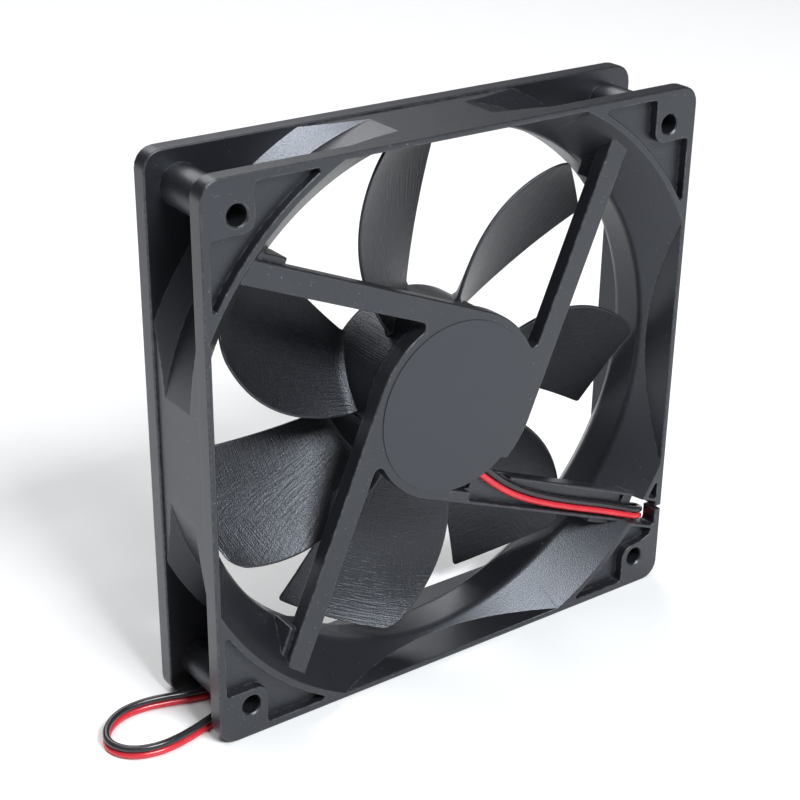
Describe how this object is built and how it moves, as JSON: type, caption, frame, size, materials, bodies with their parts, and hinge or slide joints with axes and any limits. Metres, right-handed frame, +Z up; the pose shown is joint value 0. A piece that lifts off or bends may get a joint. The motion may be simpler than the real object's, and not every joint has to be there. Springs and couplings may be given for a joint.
{
  "type": "case fan",
  "caption": "Square axial case fan with a screw hole in each corner, a swept-blade impeller on an outer-rotor motor, slanted struts and a two-wire lead ending in a plug.",
  "frame": {"origin": "middle of the lower edge of the frame, midway between its exhaust and intake faces, on the surface it stands on", "axes": "+X to the right seen from the exhaust side, +Y along the rotor's axis from the exhaust face to the intake face, +Z up"},
  "size_m": [0.14, 0.025, 0.12],
  "materials": {
    "frame_plastic": "charcoal moulded plastic with a fine spark-eroded grain, rubbed light along its edges",
    "impeller_plastic": "charcoal moulded plastic, satin on the blades",
    "label_film": "blank matt film, slightly bluer than the frame",
    "brass": "turned brass",
    "sintered_bronze": "porous sintered bronze, oil-soaked",
    "white_nylon": "natural nylon",
    "circuit_board": "green solder mask",
    "chip_epoxy": "black moulded epoxy",
    "capacitor_ceramic": "brown ceramic",
    "lamination_steel": "stacked silicon-steel sheets",
    "insulator_nylon": "natural nylon",
    "copper_winding": "enamelled copper wire",
    "tin_plate": "bright tin plate",
    "yoke_steel": "drawn plated steel",
    "ferrite": "bonded ferrite",
    "shaft_steel": "ground stainless steel",
    "oil_rubber": "soft black rubber",
    "lead_red_pvc": "red PVC insulation, glossy",
    "lead_black_pvc": "black PVC insulation, glossy",
    "connector_nylon": "natural nylon"
  },
  "bodies": {
    "housing": {"frame": "frame_plastic", "hub_label": "label_film", "bearing_tube": "brass", "sleeve_bearing": "sintered_bronze", "thrust_pad": "white_nylon", "circuit_board": "circuit_board", "hall_sensor": "chip_epoxy", "driver_chip": "chip_epoxy", "capacitor": "capacitor_ceramic", "stator_core": "lamination_steel", "stator_insulator_exhaust": "insulator_nylon", "stator_insulator_intake": "insulator_nylon", "coil_1": "copper_winding", "coil_2": "copper_winding", "coil_3": "copper_winding", "coil_4": "copper_winding", "winding_pin_1": "tin_plate", "winding_pin_2": "tin_plate", "winding_pin_3": "tin_plate", "lead_red": "lead_red_pvc", "lead_black": "lead_black_pvc", "connector_housing": "connector_nylon", "terminal_red": "tin_plate", "terminal_black": "tin_plate"},
    "rotor": {"impeller": "impeller_plastic", "yoke_cup": "yoke_steel", "ring_magnet": "ferrite", "shaft": "shaft_steel", "shaft_bush": "brass", "oil_ring": "oil_rubber", "retaining_clip": "white_nylon", "clip_washer": "white_nylon"}
  },
  "joints": [
    {"name": "rotor_spin", "type": "hinge", "parent": "housing", "child": "rotor", "pos_m": [0, 0, 0.06], "axis": [0, 1, 0], "continuous": true}
  ]
}
